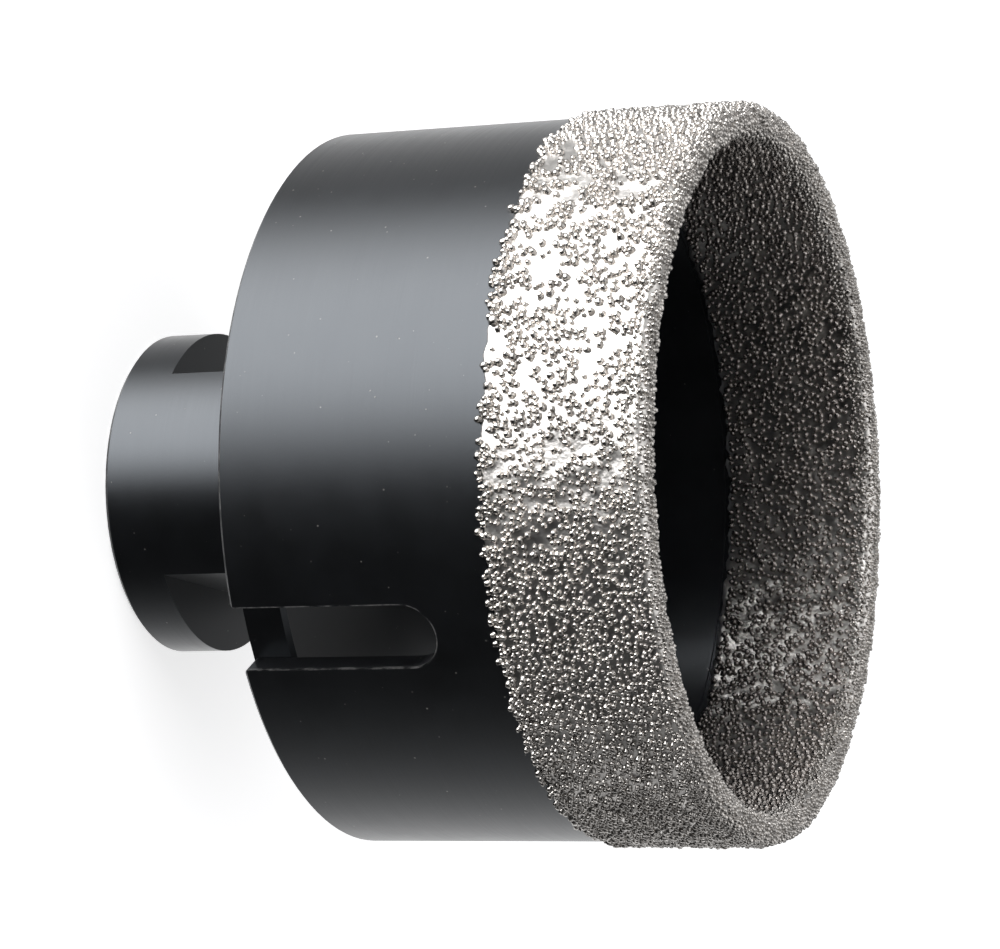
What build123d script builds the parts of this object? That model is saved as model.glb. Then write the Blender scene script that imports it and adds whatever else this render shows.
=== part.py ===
"""Diamond core bit for an angle grinder: a slotted cup with a brazed diamond rim on a threaded hub.

The bit stands on the end face of its hub with the cup open upwards.
Frame: origin in the centre of the hub's end face, +Z along the axis towards the cutting rim,
+X through the middle of the first slot. Millimetres throughout.
"""

import math
import os

from build123d import *

# ---------------------------------------------------------------- driving dimensions

# hub: turned from bar, with the female spindle thread and two wrench flats
hub_diameter = 30.5
hub_height = 20.8  # from the end face to the barrel's back edge
collar_height = 5.0  # full-round collar left at the end face, below the flats
across_flats = 19.0
flats_angle = 58.0  # direction of one flat's normal, from +X
hub_edge_chamfer = 0.4

# thread M14 x 2: the solid has the plain bore that the thread is tapped into
thread_diameter = 14.0
thread_pitch = 2.0
thread_entry = 0.4  # how far the countersink is wider than the thread, in radius

# flange: the disc at the hub's head, that closes the back of the barrel
flange_thickness = 4.0
flange_chamfer = 0.4
flange_fit = 0.05  # radial gap that the braze fills between flange and barrel

# barrel: steel tube
barrel_diameter = 66.7
barrel_wall = 2.45
barrel_length = 39.1
barrel_back_chamfer = 0.3
rim_bevel = 0.8  # on the wall's two edges at the cutting end, for the coat to wrap round
relief_depth = 0.15  # shallow counterbore that the inner coat lies in
relief_length = 14.8  # from the barrel's cutting end

# slots: open at the barrel's back edge, round at the other end
slot_count = 3
slot_width = 6.0
slot_length = 19.1  # from the back edge to the far end of the round
slot_mouth_radius = 0.5  # easing of the corners where a slot meets the back edge

# diamond coat: grit brazed on the outside, over the rim and on the inside
coat_thickness = 0.65
coat_length_outside = 14.6  # from the barrel's cutting end
coat_length_inside = 14.3
coat_nose_easing = 0.4  # bevels that make the coat's way round the rim rounder
edge_grain_radius = 0.65  # the grains that make the coat's outside back edge ragged
edge_grain_spacing = 2.3  # average distance between them
edge_grain_twist = 25.0  # turn of the grains from one row to the next
# each row's share of grains, size of grains and setback, as multiples of the average ones
edge_grain_rows = [(1.0, 1.0, 0.2), (0.9, 1.3, 0.0), (1.1, 0.85, 0.5)]

# ---------------------------------------------------------------- sizes that follow

barrel_radius = barrel_diameter / 2
bore_radius = barrel_radius - barrel_wall
relief_radius = bore_radius + relief_depth
barrel_end = hub_height + barrel_length

thread_minor_radius = (thread_diameter - 1.0825 * thread_pitch) / 2
thread_mouth_radius = thread_diameter / 2 + thread_entry

flange_radius = bore_radius - flange_fit
flange_top = hub_height + flange_thickness

cutting_diameter = barrel_diameter + 2 * coat_thickness
coat_back_outside = barrel_end - coat_length_outside
coat_back_inside = barrel_end - coat_length_inside


def radial_planes(count, height, first_turn=0):
    """Planes spaced evenly around the axis: each has its origin on the axis at that height,
    its x across, its y up and its normal pointing outwards."""
    planes = []
    for number in range(count):
        turn = math.radians(first_turn + 360 * number / count)
        outwards = (math.cos(turn), math.sin(turn), 0)
        across = (-math.sin(turn), math.cos(turn), 0)
        planes.append(Plane(origin=(0, 0, height), x_dir=across, z_dir=outwards))
    return planes


def edge_grains(wall_radius, edge_height):
    """Adds angular grains along a back edge of the coat, as radial prisms that reach from
    inside the barrel's wall to past the coat's surface.

    They lie in rows that differ in count, size and setback, so that the ragged edge they
    make together doesn't repeat.
    """
    average_count = 2 * math.pi * wall_radius / edge_grain_spacing / len(edge_grain_rows)
    quarter_pitch = 360 / average_count / 4
    for row, (share, swelling, setback) in enumerate(edge_grain_rows):
        planes = radial_planes(
            count=round(average_count * share),
            height=edge_height - setback * edge_grain_radius,
            first_turn=row * quarter_pitch,
        )
        with BuildSketch(*[plane.offset(wall_radius) for plane in planes]) as footprints:
            RegularPolygon(swelling * edge_grain_radius, 6, rotation=row * edge_grain_twist)
        extrude(footprints.sketch, amount=1.5 * coat_thickness, both=True)


# ---------------------------------------------------------------- flanged hub

with BuildPart() as flanged_hub:
    with BuildSketch():
        Circle(hub_diameter / 2)
    extrude(amount=hub_height)
    chamfer(flanged_hub.edges().group_by(Axis.Z)[0], hub_edge_chamfer)

    # two parallel wrench flats, milled from the collar up to the flange
    flat_depth = (hub_diameter - across_flats) / 2
    with BuildSketch(Plane.XY.offset(collar_height)):
        with PolarLocations(hub_diameter / 2, 2, start_angle=flats_angle):
            Rectangle(2 * flat_depth, hub_diameter)
    extrude(amount=hub_height - collar_height, mode=Mode.SUBTRACT)

    with BuildSketch(Plane.XY.offset(hub_height)):
        Circle(flange_radius)
    extrude(amount=flange_thickness)
    chamfer(flanged_hub.edges().group_by(Axis.Z)[-1], flange_chamfer)

    # bore of the thread, right through, countersunk at both ends
    with Locations((0, 0, flange_top)):
        Hole(thread_minor_radius, depth=flange_top)
    mouths = flanged_hub.edges().filter_by(
        lambda edge: edge.geom_type == GeomType.CIRCLE
        and math.isclose(edge.radius, thread_minor_radius, abs_tol=1e-6)
    )
    chamfer(mouths, thread_mouth_radius - thread_minor_radius)

flanged_hub.part.label = "flanged_hub"

# ---------------------------------------------------------------- core barrel

with BuildSketch(Plane.XZ) as wall_section:
    with BuildLine():
        Polyline(
            (bore_radius, hub_height),
            (barrel_radius, hub_height),
            (barrel_radius, barrel_end),
            (relief_radius, barrel_end),
            (relief_radius, barrel_end - relief_length),
            (bore_radius, barrel_end - relief_length),
            close=True,
        )
    make_face()
    chamfer(wall_section.vertices().group_by(Axis.Y)[-1], rim_bevel)

with BuildPart() as core_barrel:
    add(wall_section.sketch)
    revolve(axis=Axis.Z)
    back_edge = core_barrel.edges().group_by(Axis.Z)[0].sort_by(SortBy.RADIUS)[-1]
    chamfer(back_edge, barrel_back_chamfer)

    # slots through the wall, round at their inner end and eased at their mouth
    round_centre = slot_length - slot_width / 2
    mouth_side = slot_width / 2 + slot_mouth_radius
    with BuildSketch(*radial_planes(slot_count, hub_height)):
        Rectangle(2 * mouth_side, 2 * slot_mouth_radius)
        with Locations((-mouth_side, slot_mouth_radius), (mouth_side, slot_mouth_radius)):
            Circle(slot_mouth_radius, mode=Mode.SUBTRACT)
        with Locations((0, round_centre / 2)):
            Rectangle(slot_width, round_centre)
        with Locations((0, round_centre)):
            Circle(slot_width / 2)
    extrude(amount=barrel_radius + coat_thickness, mode=Mode.SUBTRACT)

core_barrel.part.label = "core_barrel"

# ---------------------------------------------------------------- diamond coat

with BuildSketch(Plane.XZ) as coat_section:
    add(wall_section.sketch_local)
    offset(amount=coat_thickness, kind=Kind.INTERSECTION)
    nose_corners = coat_section.vertices().filter_by(
        lambda corner: corner.Y > barrel_end - rim_bevel
    )
    chamfer(nose_corners, coat_nose_easing)
    middle_of_wall = (barrel_radius + bore_radius) / 2
    past_rim = barrel_end + 2 * coat_thickness
    with BuildLine():
        Polyline(
            (0, coat_back_inside),
            (middle_of_wall, coat_back_inside),
            (middle_of_wall, coat_back_outside),
            (cutting_diameter, coat_back_outside),
            (cutting_diameter, past_rim),
            (0, past_rim),
            close=True,
        )
    make_face(mode=Mode.INTERSECT)

with BuildPart() as diamond_coat:
    edge_grains(barrel_radius, coat_back_outside)
    with BuildSketch():
        Circle(cutting_diameter / 2)
    extrude(amount=past_rim, mode=Mode.INTERSECT)

    add(coat_section.sketch)
    revolve(axis=Axis.Z)
    add(core_barrel.part, mode=Mode.SUBTRACT)

diamond_coat.part.label = "diamond_coat"

# ---------------------------------------------------------------- files

os.makedirs("parts", exist_ok=True)
export_step(flanged_hub.part, "parts/flanged_hub.step")
export_step(core_barrel.part, "parts/core_barrel.step")
export_step(diamond_coat.part, "parts/diamond_coat.step")
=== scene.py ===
"""The looks of the diamond core bit: blackened turned steel with a rim of brazed diamond grit.

Lengths are metres in the frame's own axes: the bit stands on its hub, +Z runs along the axis to the
cutting rim and +X goes through the middle of a slot.
"""

import math

import bpy
import numpy as np
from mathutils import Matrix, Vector, noise


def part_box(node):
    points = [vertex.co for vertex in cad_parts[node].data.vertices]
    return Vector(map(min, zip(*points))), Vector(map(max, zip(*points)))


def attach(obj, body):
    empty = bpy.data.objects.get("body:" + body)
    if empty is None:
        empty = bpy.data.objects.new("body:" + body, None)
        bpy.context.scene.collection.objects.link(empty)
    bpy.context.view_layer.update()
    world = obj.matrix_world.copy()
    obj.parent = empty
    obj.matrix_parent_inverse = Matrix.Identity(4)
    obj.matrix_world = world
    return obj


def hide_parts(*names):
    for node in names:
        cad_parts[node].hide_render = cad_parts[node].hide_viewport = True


MM = 0.001
AXIS = Vector((0.0, 0.0, 1.0))

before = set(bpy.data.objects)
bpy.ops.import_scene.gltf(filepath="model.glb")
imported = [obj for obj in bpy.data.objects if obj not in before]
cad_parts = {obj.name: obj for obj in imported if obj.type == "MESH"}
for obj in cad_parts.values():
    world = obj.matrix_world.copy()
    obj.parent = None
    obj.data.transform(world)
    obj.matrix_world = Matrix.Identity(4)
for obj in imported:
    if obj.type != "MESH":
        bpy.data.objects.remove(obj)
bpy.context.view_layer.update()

# ---------------------------------------------------------------------------------------------
# Sizes of the CAD pieces that the new pieces stand on
# ---------------------------------------------------------------------------------------------

barrel_low, barrel_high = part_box("core_barrel")
hub_low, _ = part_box("flanged_hub")

barrel_radius = (barrel_high.y - barrel_low.y) / 2
barrel_back = barrel_low.z
barrel_rim = barrel_high.z

barrel_wall = 2.45 * MM
relief_depth = 0.15 * MM
rim_bevel = 0.8 * MM
coat_length_outside = 14.6 * MM
coat_length_inside = 14.3 * MM
slot_width = 6.0 * MM
slot_length = 19.1 * MM
slot_count = 3

relief_radius = barrel_radius - barrel_wall + relief_depth
coat_back_outside = barrel_rim - coat_length_outside
coat_back_inside = barrel_rim - coat_length_inside


# ---------------------------------------------------------------------------------------------
# Small helpers for modelling
# ---------------------------------------------------------------------------------------------


def select_only(piece):
    """Leaves one object selected and active, since operators act on all that is selected."""
    bpy.ops.object.select_all(action="DESELECT")
    piece.select_set(True)
    bpy.context.view_layer.objects.active = piece


def vertex_values(mesh, what):
    """One row of three numbers for each vertex, such as its place ("co") or its normal."""
    values = np.empty(len(mesh.vertices) * 3)
    mesh.vertices.foreach_get(what, values)
    return values.reshape(-1, 3)


def merge_corners(distance):
    """Joins corners that lie within a distance, on the mesh in edit mode."""
    bpy.ops.mesh.select_all(action="SELECT")
    bpy.ops.mesh.remove_doubles(threshold=distance)


def finish_piece(piece, name, material, slot_name, *stands_for):
    """Names a finished piece, gives it its material and puts it on the one body of the bit."""
    piece.name = name
    piece.data.name = name
    piece.data.materials.clear()
    piece.data.materials.append(material)
    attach(piece, "root")
    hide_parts(*stands_for)


# ---------------------------------------------------------------------------------------------
# Materials
# ---------------------------------------------------------------------------------------------


class Value:
    """One output of a material's nodes; arithmetic on it adds Math nodes."""

    def __init__(self, finish, socket):
        self.finish = finish
        self.socket = socket

    def math(self, operation, *sockets):
        return self.finish.node("ShaderNodeMath", {"operation": operation}, sockets)

    def __add__(self, other):
        return self.math("ADD", self, other)

    def __radd__(self, other):
        return self.math("ADD", other, self)

    def __sub__(self, other):
        return self.math("SUBTRACT", self, other)

    def __rsub__(self, other):
        return self.math("SUBTRACT", other, self)

    def __mul__(self, other):
        return self.math("MULTIPLY", self, other)

    def __rmul__(self, other):
        return self.math("MULTIPLY", other, self)

    def __truediv__(self, other):
        return self.math("DIVIDE", self, other)

    def __rtruediv__(self, other):
        return self.math("DIVIDE", other, self)

    def __pow__(self, other):
        return self.math("POWER", self, other)

    def __abs__(self):
        return self.math("ABSOLUTE", self)

    def ramp(self, low, high):
        """0 below low, 1 above high, and smooth between; low may be the larger of the two."""
        return self.finish.node(
            "ShaderNodeMapRange",
            {"interpolation_type": "SMOOTHSTEP"},
            {"Value": self, "From Min": low, "From Max": high},
        )


class Finish:
    """A procedural material and the nodes that it is made of."""

    def __init__(self, name):
        self.material = bpy.data.materials.new(name)
        self.material.use_nodes = True
        self.tree = self.material.node_tree
        self.tree.nodes.clear()

    def node(self, kind, settings=None, sockets=None, output=0):
        """Adds a node: its settings first, then the values or links of its sockets."""
        made = self.tree.nodes.new(kind)
        for name, setting in (settings or {}).items():
            setattr(made, name, setting)
        pairs = sockets.items() if isinstance(sockets, dict) else enumerate(sockets or ())
        for key, value in pairs:
            if isinstance(value, Value):
                self.tree.links.new(value.socket, made.inputs[key])
            else:
                made.inputs[key].default_value = value
        return Value(self, made.outputs[output]) if made.outputs else None

    def place(self):
        return self.node("ShaderNodeTexCoord", output="Object")

    def axes(self, place):
        split = self.node("ShaderNodeSeparateXYZ", {}, [place])
        outputs = split.socket.node.outputs
        return [Value(self, outputs[name]) for name in ("X", "Y", "Z")]

    def stretched(self, place, scale):
        return self.node("ShaderNodeMapping", {}, {"Vector": place, "Scale": scale})

    def noise(self, place, scale, detail=2.0, roughness=0.5):
        return self.node(
            "ShaderNodeTexNoise",
            {},
            {"Vector": place, "Scale": scale, "Detail": detail, "Roughness": roughness},
            output="Fac",
        )

    def cells(self, place, scale):
        """The distance to the nearest of scattered points."""
        return self.node(
            "ShaderNodeTexVoronoi", {}, {"Vector": place, "Scale": scale}, output="Distance"
        )

    def bearing(self, x, y):
        """The angle round the axis, from -pi to pi."""
        return self.node("ShaderNodeMath", {"operation": "ARCTAN2"}, [y, x])

    def wrapped(self, angle, low, high):
        return self.node("ShaderNodeMath", {"operation": "WRAP"}, [angle, high, low])

    def larger(self, first, second):
        return self.node("ShaderNodeMath", {"operation": "MAXIMUM"}, [first, second])

    def mix(self, factor, first, second):
        """A colour between two colours."""
        return self.node(
            "ShaderNodeMix",
            {"data_type": "RGBA"},
            {0: factor, 6: first, 7: second},
            output=2,
        )

    def bump(self, height, distance):
        sockets = {"Height": height, "Distance": distance, "Strength": 1.0}
        return self.node("ShaderNodeBump", {}, sockets)

    def glow(self, strength):
        white = colour(1, 1, 1)
        return self.node("ShaderNodeEmission", {}, {"Color": white, "Strength": strength})

    def surface(self, sockets):
        """Ends the material in one Principled surface."""
        shader = self.node("ShaderNodeBsdfPrincipled", {}, sockets)
        self.node("ShaderNodeOutputMaterial", {}, {"Surface": shader})
        return self.material


def colour(red, green, blue):
    return (red, green, blue, 1.0)


turning_marks = (40, 40, 5200)
broad_marks = (18, 18, 1100)
mark_depth = 0.017 * MM
dust_cover = 0.8
worn_and_glint_cover = 0.6
steel_gloss = {
    "IOR": 1.63,
    "Specular Tint": colour(0.87, 0.93, 1.0),
    "Anisotropic": 0.5,
    "Anisotropic Rotation": 0.25,
}


def blackened_steel(name, edge_mask):
    """Blackened steel with fine turning lines, a little dust, and bare metal on worn edges; along the
    barrel's back edge that band is also a painted highlight.
    """
    finish = Finish(name)
    place = finish.place()
    x, y, z = finish.axes(place)
    radius = (x * x + y * y) ** 0.5
    fine_lines = finish.noise(finish.stretched(place, turning_marks), 1.0, detail=3.0, roughness=0.6)
    broad_lines = finish.noise(finish.stretched(place, broad_marks), 1.0, detail=2.0)
    mottle = finish.noise(place, 220, detail=5.0, roughness=0.65)
    grain = finish.noise(place, 3600, detail=2.0, roughness=0.7)
    specks = finish.cells(place, 1150)
    dusty = finish.noise(place, 760, detail=1.0).ramp(0.56, 0.66)
    dust = specks.ramp(0.13, 0.05) * dusty
    darkest = colour(0.0026, 0.0027, 0.0031)
    greyest = colour(0.0050, 0.0053, 0.0062)
    dust_colour = colour(0.26, 0.25, 0.23)
    bare_steel_and_glint = colour(0.36, 0.355, 0.35)
    black = finish.mix(mottle.ramp(0.3, 0.7), darkest, greyest)
    tone = finish.mix(dust * dust_cover, black, dust_colour)
    patchy = finish.noise(place, 800, detail=4.0, roughness=0.7).ramp(0.40, 0.66)
    # Worn edges go bare; along the barrel's back edge this bare band is also a painted highlight.
    worn_and_glint = edge_mask(finish, x, y, z, radius) * patchy
    tone = finish.mix(worn_and_glint * worn_and_glint_cover, tone, bare_steel_and_glint)
    ridges = fine_lines * 0.35 + broad_lines * 0.5 + grain * 0.15
    return finish.surface(
        {
            "Base Color": tone,
            "Roughness": 0.25 + fine_lines * 0.10 + mottle * 0.08,
            "Metallic": worn_and_glint * 0.5,
            "Normal": finish.bump(ridges, mark_depth),
            **steel_gloss,
        }
    )


# The band along the barrel's back edge is partly wear and partly a painted highlight, standing in for
# the glint of a chamfer that isn't modelled.
back_glint_and_wear = (0.34 * MM, 0.16 * MM)
slot_wear = (0.14 * MM, 0.03 * MM)
front_wear = (0.45 * MM, 0.10 * MM)
hub_wear_radii = (14.4 * MM, 14.8 * MM)


def barrel_edges(finish, x, y, z, radius):
    """1 along the barrel's back edge and round the slots, on the outside."""
    back = abs(z - barrel_back).ramp(*back_glint_and_wear)
    third = 2 * math.pi / slot_count
    from_slot = finish.wrapped(finish.bearing(x, y), -third / 2, third / 2)
    across = abs(from_slot * barrel_radius)
    slot_end_centre = barrel_back + slot_length - slot_width / 2
    beyond = finish.larger(z - slot_end_centre, 0.0)
    from_centre = (across * across + beyond * beyond) ** 0.5
    slot_edge = abs(from_centre - slot_width / 2).ramp(*slot_wear)
    behind_coat = z.ramp(coat_back_outside - 1 * MM, coat_back_outside - 2 * MM)
    outside = radius.ramp(barrel_radius - 0.45 * MM, barrel_radius - 0.15 * MM)
    return finish.larger(back, slot_edge * behind_coat) * outside


def hub_edges(finish, x, y, z, radius):
    """1 along the outer edge of the hub's back end."""
    return abs(z - hub_low.z).ramp(*front_wear) * radius.ramp(*hub_wear_radii)


braze_ripple_depth = 0.06 * MM
stained_share = 0.62
# How dark the painted shade deep in the bore gets, and over what length below the rim it grows.
painted_shade_share = 0.28
painted_shade_reach = 18 * MM


def nickel_braze(name, tone, roughness, lumps, attribute=None, painted_shade_below=None):
    """Bright nickel braze, smooth as it froze and slightly uneven in tone.

    The attribute gives each grain a tone of its own, and below a height the metal is painted darker,
    as painted shade deeper in the bore.
    """
    finish = Finish(name)
    place = finish.place()
    ripple = finish.noise(place, lumps, detail=3.0, roughness=0.55)
    stain = finish.noise(place, 420, detail=4.0, roughness=0.6)
    if attribute is not None:
        own = finish.node("ShaderNodeAttribute", {"attribute_name": attribute}, output="Fac")
        stain = stain * 0.5 + own * 0.5
    dark = tuple(channel * stained_share for channel in tone)
    metal = finish.mix(stain.ramp(0.25, 0.65), colour(*dark), colour(*tone))
    # Painted shade: the metal darkens below the height, standing in for the shade deep in the bore.
    if painted_shade_below is not None:
        _, _, height = finish.axes(place)
        shade_tone = tuple(channel * painted_shade_share for channel in tone)
        depth = height.ramp(painted_shade_below, painted_shade_below - painted_shade_reach)
        metal = finish.mix(depth, metal, colour(*shade_tone))
    return finish.surface(
        {
            "Base Color": metal,
            "Roughness": roughness + stain * 0.12,
            "Metallic": 1.0,
            "Normal": finish.bump(ripple, braze_ripple_depth),
        }
    )


barrel_finish = blackened_steel("blackened_barrel_steel", barrel_edges)
hub_finish = blackened_steel("blackened_hub_steel", hub_edges)
braze_finish = nickel_braze("nickel_braze", (0.78, 0.755, 0.73), 0.24, 1700)
grain_finish = nickel_braze("brazed_diamond_grain", (0.65, 0.62, 0.59), 0.11, 2600, "grain_tone")
# The inner grains: a darker, warmer copy of the grain metal, partly painted shade, with more painted
# shade below the rim.
inner_grain_shaded_finish = nickel_braze(
    "inner_diamond_grain_shaded", (0.62, 0.575, 0.545), 0.11, 2600, "grain_tone", barrel_rim
)

for node_name, node_finish in (("core_barrel", barrel_finish), ("flanged_hub", hub_finish)):
    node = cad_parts[node_name]
    node.data.materials.clear()
    node.data.materials.append(node_finish)


# ---------------------------------------------------------------------------------------------
# The hub: a copy of its own mesh with a thread cut in the bore
# ---------------------------------------------------------------------------------------------

thread_pitch = 2.0 * MM
thread_depth = 1.0825 * MM
thread_fade = 2.0 * MM
thread_columns = 72
thread_cuts = 130
crest_half_flat = thread_pitch / 8
root_half_flat = thread_pitch / 16
tube_gap = 0.05 * MM
wall_tolerance = 0.02 * MM
merge_distance = 0.001 * MM
smooth_below = math.radians(35)


def flag_nothing(mesh):
    """Leaves nothing selected on a mesh that isn't being edited."""
    for part in (*mesh.vertices, *mesh.edges, *mesh.polygons):
        part.select = False


def flag_edges(mesh, chosen):
    """Selects just the edges for which chosen(one corner, the other, faces on the edge) holds."""
    shared = np.zeros(len(mesh.edges), dtype=int)
    users = np.empty(len(mesh.loops), dtype=np.int32)
    mesh.loops.foreach_get("edge_index", users)
    np.add.at(shared, users, 1)
    flag_nothing(mesh)
    for edge in mesh.edges:
        first, second = [mesh.vertices[corner].co for corner in edge.vertices]
        edge.select = bool(chosen(first, second, shared[edge.index]))


def hub_without_bore_wall():
    """A merged copy of the hub without its bore's wall, and that wall's radius and two ends."""
    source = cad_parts["flanged_hub"]
    hub = source.copy()
    hub.data = source.data.copy()
    bpy.context.scene.collection.objects.link(hub)
    hub.parent = None
    hub.data.transform(source.matrix_world)
    hub.matrix_world.identity()
    select_only(hub)
    bpy.ops.object.mode_set(mode="EDIT")
    merge_corners(merge_distance)
    bpy.ops.object.mode_set(mode="OBJECT")
    if hub.data.has_custom_normals:
        bpy.ops.mesh.customdata_custom_splitnormals_clear()
    places = vertex_values(hub.data, "co")
    radii = np.hypot(places[:, 0], places[:, 1])
    bore_radius = radii.min()
    on_wall = radii < bore_radius + wall_tolerance
    flag_nothing(hub.data)
    for face in hub.data.polygons:
        face.select = all(bool(on_wall[corner]) for corner in face.vertices)
    bpy.ops.object.mode_set(mode="EDIT")
    bpy.ops.mesh.select_mode(type="FACE")
    bpy.ops.mesh.delete(type="FACE")
    bpy.ops.object.mode_set(mode="OBJECT")
    return hub, bore_radius, places[on_wall, 2].min(), places[on_wall, 2].max()


def thread_tube(bore_radius, low, high):
    """A tube with the thread cut into it, which fades out towards both ends of the bore's wall."""
    length = high - low - 2 * tube_gap
    bpy.ops.object.select_all(action="DESELECT")
    bpy.ops.mesh.primitive_cylinder_add(
        vertices=thread_columns,
        radius=bore_radius,
        depth=length,
        end_fill_type="NOTHING",
        location=(0, 0, (low + high) / 2),
    )
    tube = bpy.context.object
    bpy.ops.object.transform_apply(location=True, rotation=False, scale=False)
    flag_edges(tube.data, lambda first, second, shared: abs(first.z - second.z) > length / 2)
    bpy.ops.object.mode_set(mode="EDIT")
    bpy.ops.mesh.select_mode(type="EDGE")
    bpy.ops.mesh.subdivide(number_cuts=thread_cuts)
    bpy.ops.mesh.select_all(action="SELECT")
    bpy.ops.mesh.flip_normals()
    bpy.ops.object.mode_set(mode="OBJECT")
    places = vertex_values(tube.data, "co")
    turns = np.arctan2(places[:, 1], places[:, 0]) / (2 * math.pi)
    run = np.mod(places[:, 2] / thread_pitch - turns, 1.0)
    from_root = np.abs(run - 0.5) * thread_pitch
    flank = thread_pitch / 2 - crest_half_flat - root_half_flat
    cut = 1 - np.clip((from_root - root_half_flat) / flank, 0.0, 1.0)
    from_end = np.minimum(places[:, 2] - low, high - places[:, 2]) - tube_gap
    radii = bore_radius + thread_depth * cut * np.clip(from_end / thread_fade, 0.0, 1.0)
    places[:, :2] *= (radii / np.hypot(places[:, 0], places[:, 1]))[:, None]
    tube.data.vertices.foreach_set("co", places.ravel())
    tube.data.update()
    return tube


def bridge_open_edges(mesh, height):
    """Closes the slit between the two rings of open edges that lie at a height."""

    def on_ring(first, second, shared):
        near = max(abs(first.z - height), abs(second.z - height)) < 2 * tube_gap
        return shared == 1 and near

    flag_edges(mesh, on_ring)
    bpy.ops.object.mode_set(mode="EDIT")
    bpy.ops.mesh.select_mode(type="EDGE")
    bpy.ops.mesh.bridge_edge_loops()
    bpy.ops.object.mode_set(mode="OBJECT")


def threaded_hub():
    """The bore's plain wall is taken out and a tube with the thread in it is bridged in its place."""
    hub, bore_radius, wall_low, wall_high = hub_without_bore_wall()
    tube = thread_tube(bore_radius, wall_low, wall_high)
    select_only(hub)
    tube.select_set(True)
    bpy.ops.object.join()
    for height in (wall_low, wall_high):
        bridge_open_edges(hub.data, height)
    bpy.ops.object.mode_set(mode="EDIT")
    bpy.ops.mesh.select_all(action="SELECT")
    bpy.ops.mesh.normals_make_consistent(inside=False)
    bpy.ops.object.mode_set(mode="OBJECT")
    bpy.ops.object.shade_smooth_by_angle(angle=smooth_below)
    finish_piece(hub, "threaded_hub", hub_finish, "blackened_steel", "flanged_hub")
    return hub


threaded_hub()


# ---------------------------------------------------------------------------------------------
# The braze: a skin that wraps the rim of the barrel
# ---------------------------------------------------------------------------------------------

skin_thickness = 0.22 * MM
skin_root = 0.14 * MM
skin_merge_distance = 0.002 * MM
toe = 0.03 * MM
toe_reach = 0.12 * MM
step_up = 0.14 * MM
nose_height = 1.10 * MM
nose_steps = 22
nose_fullness = 0.75
nose_rise = 0.34 * MM
back_margin = 0.52 * MM
back_slope = 0.30 * MM
skin_step = 0.19 * MM
skin_spin_steps = 360
ragged_depth = 0.55 * MM
ragged_reach = 1.8 * MM
mound_height = 0.14 * MM
ripple_size = 0.8 * MM
ripple_height = 0.10 * MM
outside_seed = 3.0
inside_seed = 11.0

skin_outside = barrel_radius + skin_thickness
skin_inside = relief_radius - skin_thickness
skin_top = barrel_rim + skin_thickness + nose_rise
skin_back_outside = coat_back_outside + back_margin


def nose_corner(turn):
    """The nose's section, squarer than half an ellipse, at a turn of 0 outside to pi inside."""
    middle = (skin_outside + skin_inside) / 2
    half_width = (skin_outside - skin_inside) / 2
    across = math.copysign(abs(math.cos(turn)) ** nose_fullness, math.cos(turn))
    height = skin_top - nose_height + nose_height * math.sin(turn) ** nose_fullness
    return middle + half_width * across, height


def skin_outline():
    """The braze's section, outside, as (radius, height) from the outside's back edge over the rim."""
    side_top = skin_top - nose_height
    outer_back = skin_back_outside + back_slope
    inner_back = coat_back_inside + back_slope
    rows = round((side_top - outer_back) / skin_step)
    climb = [outer_back + (side_top - outer_back) * row / rows for row in range(rows)]
    turns = [math.pi * step / nose_steps for step in range(nose_steps)]
    fall = [side_top - (side_top - inner_back) * row / rows for row in range(rows + 1)]
    return [
        (barrel_radius + toe, skin_back_outside - toe_reach),
        (barrel_radius + step_up, skin_back_outside + toe),
        *[(skin_outside, height) for height in climb],
        *[nose_corner(turn) for turn in turns],
        *[(skin_inside, height) for height in fall],
        (relief_radius - step_up, coat_back_inside + toe),
        (relief_radius - toe, coat_back_inside - toe_reach),
    ]


def skin_root_line():
    """The hidden line of the section, just under the barrel's own faces, from the inside back out."""
    inner = relief_radius + skin_root
    outer = barrel_radius - skin_root
    top = barrel_rim - skin_root
    return [
        (inner, coat_back_inside),
        (inner, top - rim_bevel),
        (inner + rim_bevel, top),
        (outer - rim_bevel, top),
        (outer, top - rim_bevel),
        (outer, skin_back_outside),
    ]


ridge_lean = 0.42
ridge_slant = 0.12
ridges_round = 21
ridges_along = 330
ridge_share = 1.1
lumps_round = 48
lumps_along = 820
lump_share = 0.7
side_shift = 900
slow_waves = 9
slow_creep = 0.55
quick_waves = 38
quick_creep = 0.95


def mounds(point):
    """Mounds and ridges of the braze, from about -1 to 1; they run mostly along the axis."""
    angle = math.atan2(point.y, point.x)
    round_x, round_y = math.cos(angle), math.sin(angle)
    leaning = point.z / MM * ridge_lean + angle * barrel_radius / MM
    along = leaning * ridge_slant + point.z * ridges_along
    ridges = Vector((round_x * ridges_round, round_y * ridges_round, along))
    lumps = Vector((round_x * lumps_round, round_y * lumps_round, point.z * lumps_along))
    side = Vector((0, 0, math.hypot(point.x, point.y) * side_shift))
    return noise.noise(ridges + side) * ridge_share + noise.noise(lumps + side) * lump_share


def ragged(angle, seed):
    """How far the braze has crept along the wall at this angle, from -1 to 1."""
    point = Vector((math.cos(angle), math.sin(angle), 0.0))
    slow = noise.noise(point * slow_waves + Vector((0, 0, seed)))
    quick = noise.noise(point * quick_waves + Vector((0, 0, seed + 7)))
    return slow_creep * slow + quick_creep * quick


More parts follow.
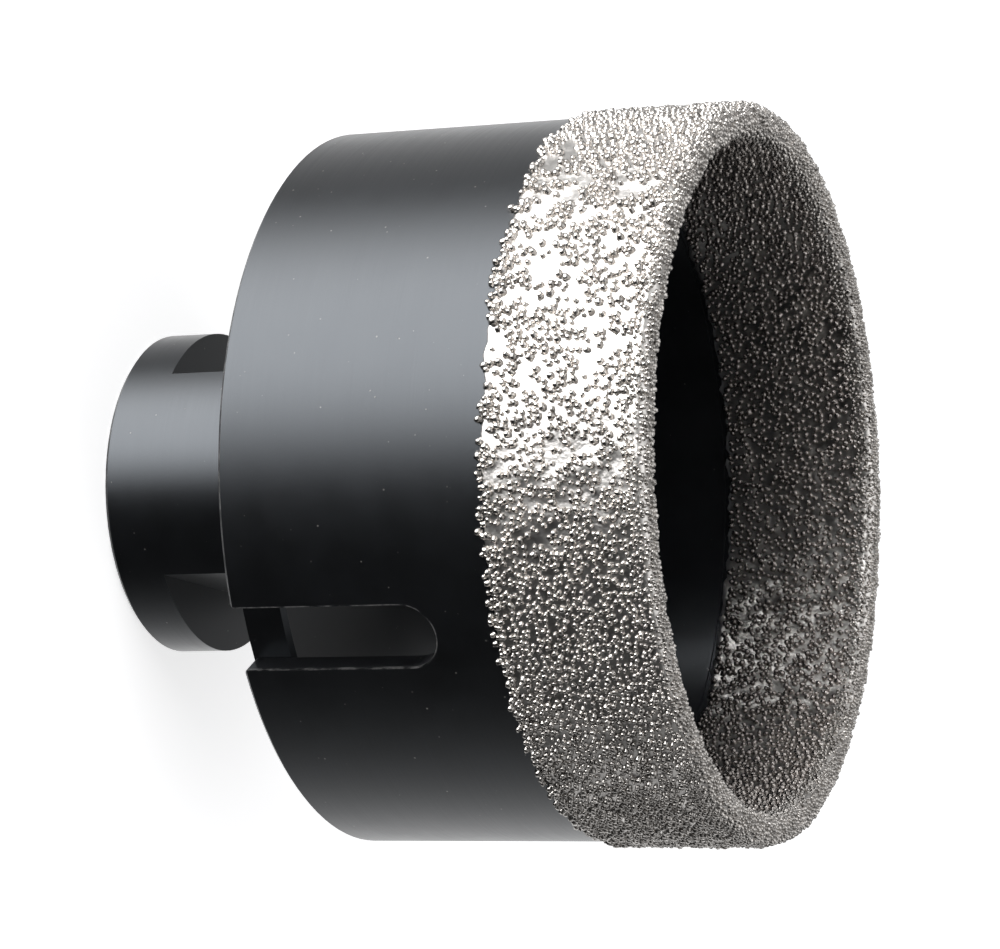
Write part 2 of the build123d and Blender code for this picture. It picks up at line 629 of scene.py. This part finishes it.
def braze_skin():
    """A ring of edges spun round the axis, then rippled and left ragged at its back edges."""
    section = [*skin_outline(), *skin_root_line()]
    mesh = bpy.data.meshes.new("braze_skin")
    corners = [(radius, 0.0, height) for radius, height in section]
    edges = [(i, (i + 1) % len(corners)) for i in range(len(corners))]
    mesh.from_pydata(corners, edges, [])
    skin = bpy.data.objects.new("braze_skin", mesh)
    bpy.context.scene.collection.objects.link(skin)
    select_only(skin)
    bpy.ops.object.mode_set(mode="EDIT")
    bpy.ops.mesh.select_all(action="SELECT")
    bpy.ops.mesh.spin(
        steps=skin_spin_steps, angle=2 * math.pi, center=(0, 0, 0), axis=(0, 0, 1)
    )
    merge_corners(skin_merge_distance)
    bpy.ops.mesh.normals_make_consistent(inside=False)
    bpy.ops.object.mode_set(mode="OBJECT")
    places = vertex_values(skin.data, "co")
    normals = vertex_values(skin.data, "normal")
    swell = np.array([mounds(Vector(place)) for place in places]) * mound_height
    is_outside = np.hypot(places[:, 0], places[:, 1]) > (skin_outside + skin_inside) / 2
    back = np.where(is_outside, coat_back_outside, coat_back_inside)
    share = np.clip(1 - (places[:, 2] - back) / ragged_reach, 0, 1)
    creep = np.array(
        [
            ragged(math.atan2(place[1], place[0]), outside_seed if outside else inside_seed)
            for place, outside in zip(places, is_outside)
        ]
    )
    places += normals * (swell * (1 - share))[:, None]
    places[:, 2] += creep * share * ragged_depth
    skin.data.vertices.foreach_set("co", places.ravel())
    skin.data.update()
    ripple = bpy.data.textures.new("braze_ripple", "CLOUDS")
    ripple.noise_scale = ripple_size
    ripple.noise_depth = 2
    rippled = skin.modifiers.new("ripple", "DISPLACE")
    rippled.texture = ripple
    rippled.texture_coords = "LOCAL"
    rippled.strength = ripple_height
    rippled.mid_level = 0.5
    bpy.ops.object.modifier_apply(modifier="ripple")
    bpy.ops.object.shade_smooth()
    finish_piece(skin, "braze_skin", braze_finish, "brazed_diamond", "diamond_coat")
    return skin


braze_skin()


# ---------------------------------------------------------------------------------------------
# The diamond grains, each a small dome under its own cover of braze
# ---------------------------------------------------------------------------------------------

grain_segments = 6
grain_rings = 5
grain_shapes = 5
foot_cut = -0.6
foot_band = 0.05
foot_flare = 1.75
grain_dent = 0.16
grain_lean = 0.13
grain_widths = (0.86, 1.16)
grain_heights = (0.85, 1.15)
grain_rise = 0.30
grain_sinking = (-0.10, 0.12)

thinnest_angle = math.radians(-60)
thin_spread = 1.5
thick_crowding = 0.95
thin_loss = 0.62
rim_gain = 0.22
mounds_where_thick = 0.5
mounds_where_thin = 1.4
stray_crowding = 0.3
thick_size = 0.88
thin_size_gain = 0.26
grain_spacing = 0.80
normal_reach = 0.15 * MM


def grain_shape(seed):
    """One grain on the XY plane: the upper part of a unit ball whose foot flares into the braze."""
    bpy.ops.object.select_all(action="DESELECT")
    bpy.ops.mesh.primitive_uv_sphere_add(segments=grain_segments, ring_count=grain_rings, radius=1.0)
    grain = bpy.context.object
    bpy.ops.object.mode_set(mode="EDIT")
    bpy.ops.mesh.select_all(action="SELECT")
    bpy.ops.mesh.bisect(
        plane_co=(0, 0, foot_cut), plane_no=(0, 0, -1), use_fill=False, clear_outer=True
    )
    bpy.ops.object.mode_set(mode="OBJECT")
    mesh = grain.data
    lowest = min(vertex.co.z for vertex in mesh.vertices)
    for vertex in mesh.vertices:
        vertex.select = vertex.co.z < lowest + foot_band
    bpy.ops.object.mode_set(mode="EDIT")
    bpy.ops.mesh.select_mode(type="VERT")
    bpy.ops.transform.resize(value=(foot_flare, foot_flare, 1.0))
    bpy.ops.mesh.edge_face_add()
    bpy.ops.mesh.select_all(action="SELECT")
    bpy.ops.transform.vertex_random(offset=grain_dent, uniform=1.0, seed=seed)
    bpy.ops.object.mode_set(mode="OBJECT")
    corners = np.array([vertex.co[:] for vertex in mesh.vertices])
    faces = [tuple(face.vertices) for face in mesh.polygons]
    bpy.data.objects.remove(grain)
    return corners, faces


shapes = [grain_shape(seed) for seed in range(1, grain_shapes + 1)]


class Path:
    """The braze's section as a path: a distance along it gives radius, height and normal."""

    def __init__(self, points):
        self.points = np.array(points)
        steps = np.linalg.norm(np.diff(self.points, axis=0), axis=1)
        self.along = np.concatenate([[0.0], np.cumsum(steps)])
        self.length = self.along[-1]

    def crossings(self, height):
        """The distances at which the path passes a height, going up and coming down."""
        above = np.nonzero(self.points[:, 1] > height)[0]
        return float(self.along[above[0]]), float(self.along[above[-1]])

    def point(self, distance):
        radius = np.interp(distance, self.along, self.points[:, 0])
        height = np.interp(distance, self.along, self.points[:, 1])
        return radius, height

    def at(self, distance):
        """Radius, height and normal at each distance; below zero, the path runs on down the barrel."""
        radius, height = self.point(distance)
        height = height + np.minimum(distance, 0.0)
        on_path = np.clip(distance, normal_reach, self.length - normal_reach)
        radius_before, height_before = self.point(on_path - normal_reach)
        radius_after, height_after = self.point(on_path + normal_reach)
        radius_step = radius_after - radius_before
        height_step = height_after - height_before
        length = np.hypot(radius_step, height_step)
        return radius, height, height_step / length, -radius_step / length


def thin_side(angle):
    """1 where the grains lie thinnest, 0 where they lie thick."""
    away = math.remainder(angle - thinnest_angle, 2 * math.pi)
    return max(0.0, math.cos(min(abs(away) * thin_spread, math.pi / 2)))


def crowding(point, angle, share):
    """How likely a grain is to settle: in chains and clusters, and the likelier the nearer the rim."""
    thin = thin_side(angle)
    wanted = thick_crowding - thin_loss * thin + rim_gain * share
    chains = mounds(point) * (mounds_where_thick + mounds_where_thin * thin)
    return wanted + chains + noise.noise(point * 1500) * stray_crowding


def scatter(path, start, end, tries, size_range, seed, shares=(0.0, 0.0), always=0.0):
    """Throws grains at a band of the path and keeps those with room, as (distance, angle, size)."""
    chance = np.random.default_rng(seed)
    cell = 2 * size_range[1]
    taken = {}
    kept = []
    distances = chance.uniform(start, end, tries)
    angles = chance.uniform(-math.pi, math.pi, tries)
    sizes = chance.uniform(size_range[0], size_range[1], tries)
    tests = chance.uniform(0.0, 1.0, tries)
    radii, heights, _, _ = path.at(distances)
    for i in range(tries):
        angle = angles[i]
        point = Vector((radii[i] * math.cos(angle), radii[i] * math.sin(angle), heights[i]))
        run = (distances[i] - start) / (end - start)
        share = shares[0] + (shares[1] - shares[0]) * run
        if tests[i] > max(always, crowding(point, angle, share)):
            continue
        size = sizes[i] * (thick_size + thin_size_gain * thin_side(angle))
        key = (round(point.x / cell), round(point.y / cell), round(point.z / cell))
        near = any(
            (other - point).length < (size + other_size) * grain_spacing
            for dx in (-1, 0, 1)
            for dy in (-1, 0, 1)
            for dz in (-1, 0, 1)
            for other, other_size in taken.get((key[0] + dx, key[1] + dy, key[2] + dz), ())
        )
        if near:
            continue
        taken.setdefault(key, []).append((point, size))
        kept.append((distances[i], angle, size))
    return kept


def lay_grains(name, path, grains, seed, finish):
    """One piece of grains: copies of the shapes, turned and sized by chance, standing on the path."""
    chance = np.random.default_rng(seed)
    rows = np.array(grains)
    count = len(rows)
    radius, height, out, up = path.at(rows[:, 0])
    angle = rows[:, 1]
    size = rows[:, 2]
    zero = np.zeros(count)
    radial = np.stack([np.cos(angle), np.sin(angle), zero], 1)
    around = np.stack([-np.sin(angle), np.cos(angle), zero], 1)
    axis = np.array([0.0, 0.0, 1.0])
    normal = radial * out[:, None] + axis * up[:, None]
    foot = radial * radius[:, None] + axis * height[:, None]
    swell = np.array([mounds(Vector(place)) for place in foot]) * mound_height
    foot = foot + normal * swell[:, None]
    lean = chance.normal(0.0, grain_lean, (count, 2))
    normal = normal + around * lean[:, :1] + axis * lean[:, 1:]
    normal /= np.linalg.norm(normal, axis=1)[:, None]
    side = np.cross(normal, around)
    side /= np.linalg.norm(side, axis=1)[:, None]
    front = np.cross(side, normal)
    turn = chance.uniform(0, 2 * math.pi, count)
    first = side * np.cos(turn)[:, None] + front * np.sin(turn)[:, None]
    second = np.cross(normal, first)
    widths = size[:, None] * chance.uniform(*grain_widths, (count, 2))
    tall = size * chance.uniform(*grain_heights, count)
    which = chance.integers(0, len(shapes), count)
    tones = chance.uniform(0.0, 1.0, count)
    sunk = size * chance.uniform(*grain_sinking, count)
    corner_rows = []
    faces = []
    tone_rows = []
    base = 0
    for i in range(count):
        shape_corners, shape_faces = shapes[which[i]]
        placed = (
            foot[i]
            + shape_corners[:, :1] * widths[i, 0] * first[i]
            + shape_corners[:, 1:2] * widths[i, 1] * second[i]
            + (shape_corners[:, 2:] * tall[i] + grain_rise * size[i] - sunk[i]) * normal[i]
        )
        corner_rows.append(placed)
        faces.extend(tuple(base + corner for corner in face) for face in shape_faces)
        tone_rows.append(np.full(len(shape_corners), tones[i]))
        base += len(shape_corners)
    mesh = bpy.data.meshes.new(name)
    mesh.from_pydata(np.concatenate(corner_rows), [], faces)
    tone = mesh.attributes.new("grain_tone", "FLOAT", "POINT")
    tone.data.foreach_set("value", np.concatenate(tone_rows).astype(np.float32))
    mesh.update()
    piece = bpy.data.objects.new(name, mesh)
    bpy.context.scene.collection.objects.link(piece)
    select_only(piece)
    bpy.ops.object.shade_smooth()
    finish_piece(piece, name, finish, "brazed_diamond", "diamond_coat")
    return piece


outer_sizes = (0.21 * MM, 0.36 * MM)
rim_sizes = (0.17 * MM, 0.28 * MM)
inner_sizes = (0.25 * MM, 0.38 * MM)
edge_sizes = (0.26 * MM, 0.42 * MM)
side_margin = 0.35 * MM
edge_band = (-0.45 * MM, 0.75 * MM)
rim_zone_below_nose = 0.7 * MM

grain_path = Path(skin_outline())
nose_start, nose_end = grain_path.crossings(skin_top - nose_height - rim_zone_below_nose)
inside_end = grain_path.length - side_margin

outer_grains = scatter(
    grain_path, side_margin, nose_start, 44000, outer_sizes, seed=5, shares=(0.0, 1.0)
)
rim_grains = scatter(
    grain_path, nose_start, nose_end, 30000, rim_sizes, seed=6, shares=(1.0, 1.0), always=0.9
)
inner_grains = scatter(
    grain_path, nose_end, inside_end, 24000, inner_sizes, seed=7, shares=(0.6, 0.1)
)
edge_grains = scatter(grain_path, *edge_band, 2600, edge_sizes, seed=8, shares=(0.3, 0.5))


def in_pieces(name, grains, seed, finish, most=3400):
    """Splits a band of grains over as many pieces as keep each one light."""
    count = math.ceil(len(grains) / most)
    ordered = sorted(grains, key=lambda grain: grain[1])
    share = math.ceil(len(ordered) / count)
    for number in range(count):
        part = ordered[number * share : (number + 1) * share]
        lay_grains(f"{name}_{number + 1}", grain_path, part, seed + number, finish)


in_pieces("outer_grit", outer_grains, 20, grain_finish)
in_pieces("rim_grit", rim_grains, 30, grain_finish)
in_pieces("inner_grit", inner_grains, 40, inner_grain_shaded_finish)
in_pieces("edge_grit", edge_grains, 50, grain_finish)


# ---------------------------------------------------------------------------------------------
# Studio: a pale floor, soft lamps, a ball that only gloss reflects, and the camera
# ---------------------------------------------------------------------------------------------


floor_size = 8.0
floor_glow = 0.62
lamp_aim = 35 * MM
ball_radius = 0.5
dark_level = 0.03
near_side_level = 1.15
far_side_level = 0.8
lamp_level = 6.7
overhead_level = 0.9
underfoot_share = 0.04


def pale_floor():
    """A plain floor that shows white to the camera and keeps a soft shadow."""
    finish = Finish("pale_floor")
    rays = finish.node("ShaderNodeLightPath")
    outputs = rays.socket.node.outputs
    camera, glossy, through = [
        Value(finish, outputs[name])
        for name in ("Is Camera Ray", "Is Glossy Ray", "Is Transmission Ray")
    ]
    seen = camera + glossy + through
    paper = finish.noise(finish.place(), 60, detail=3.0)
    tone = finish.mix(paper, colour(0.88, 0.88, 0.88), colour(0.92, 0.92, 0.92))
    matt = finish.node("ShaderNodeBsdfDiffuse", {}, {"Color": tone})
    glow = finish.glow(seen * floor_glow)
    both = finish.node("ShaderNodeAddShader", {}, [matt, glow])
    finish.node("ShaderNodeOutputMaterial", {}, {"Surface": both})
    bpy.ops.object.select_all(action="DESELECT")
    bpy.ops.mesh.primitive_plane_add(size=floor_size, location=(0, 0, hub_low.z))
    floor = bpy.context.object
    floor.name = "floor"
    floor.data.materials.append(finish.material)
    floor.visible_glossy = False
    return floor


def soft_lamp(name, azimuth, elevation, distance, width, height, power):
    """A rectangular soft lamp that looks at the middle of the bit, azimuth measured from +X."""
    lamp = bpy.data.lights.new(name, "AREA")
    lamp.shape = "RECTANGLE"
    lamp.size = width
    lamp.size_y = height
    lamp.energy = power
    holder = bpy.data.objects.new(name, lamp)
    turn = math.radians(azimuth)
    rise = math.radians(elevation)
    offset = Vector(
        (math.cos(turn) * math.cos(rise), math.sin(turn) * math.cos(rise), math.sin(rise))
    )
    holder.location = AXIS * lamp_aim + offset * distance
    holder.visible_glossy = False
    holder.rotation_euler = offset.to_track_quat("Z", "Y").to_euler()
    bpy.context.scene.collection.objects.link(holder)
    return holder


def reflected_studio():
    """The studio as gloss shows it: a ball that only reflections see, with the bit in its middle.

    It is dark in front, bright where the soft lamp stands, paler at the back and white overhead.
    """
    finish = Finish("reflected_studio")
    x, y, z = [way / ball_radius for way in finish.axes(finish.place())]
    angle = finish.bearing(x, y)
    turned = finish.wrapped(angle - math.radians(12), -math.pi, math.pi)
    near_side = turned.ramp(math.radians(20), math.radians(130)) * near_side_level
    far_side = (0 - turned).ramp(math.radians(107), math.radians(180)) * far_side_level
    lamp = angle.ramp(math.radians(-129), math.radians(-82))
    lamp = lamp * angle.ramp(math.radians(-21), math.radians(-60)) * lamp_level
    low = z.ramp(0.45, 0.10)
    high = z.ramp(0.30, 0.80) * (0.25 + (0 - y).ramp(-0.2, 0.8) * 0.55)
    overhead = z.ramp(0.80, 0.97) * overhead_level
    above_feet = z.ramp(-0.97, -0.70) * (1 - underfoot_share) + underfoot_share
    around = (near_side + far_side) * (0.08 + low * 0.92) + lamp * low
    level = dark_level + around * above_feet + high + overhead
    finish.node("ShaderNodeOutputMaterial", {}, {"Surface": finish.glow(level)})
    finish.material.cycles.emission_sampling = "NONE"
    bpy.ops.object.select_all(action="DESELECT")
    bpy.ops.mesh.primitive_uv_sphere_add(segments=64, ring_count=32, radius=ball_radius)
    ball = bpy.context.object
    ball.name = "reflected_studio"
    ball.data.materials.append(finish.material)
    ball.visible_camera = False
    ball.visible_diffuse = False
    ball.visible_shadow = False
    ball.visible_transmission = False
    ball.visible_volume_scatter = False
    return ball


pale_floor()
soft_lamp("key_lamp", azimuth=-82, elevation=14, distance=0.60, width=0.50, height=0.30, power=2.6)
soft_lamp("fill_lamp", azimuth=100, elevation=20, distance=0.70, width=0.40, height=0.30, power=0.8)
reflected_studio()

world = bpy.data.worlds.new("studio")
world.use_nodes = True
background = world.node_tree.nodes["Background"]
background.inputs["Color"].default_value = colour(0.5, 0.5, 0.51)
background.inputs["Strength"].default_value = 1.0
bpy.context.scene.world = world

camera_data = bpy.data.cameras.new("camera")
camera_data.lens = 143.307
camera_data.sensor_width = 36.0
camera_data.clip_start = 0.02
camera_data.clip_end = 20.0
camera = bpy.data.objects.new("camera", camera_data)
camera.location = (316.785 * MM, -134.054 * MM, 175.337 * MM)
camera.rotation_euler = tuple(math.radians(turn) for turn in (4.7599, -67.5388, 152.0456))
bpy.context.scene.collection.objects.link(camera)
bpy.context.scene.camera = camera
bpy.context.scene.view_settings.view_transform = "Standard"
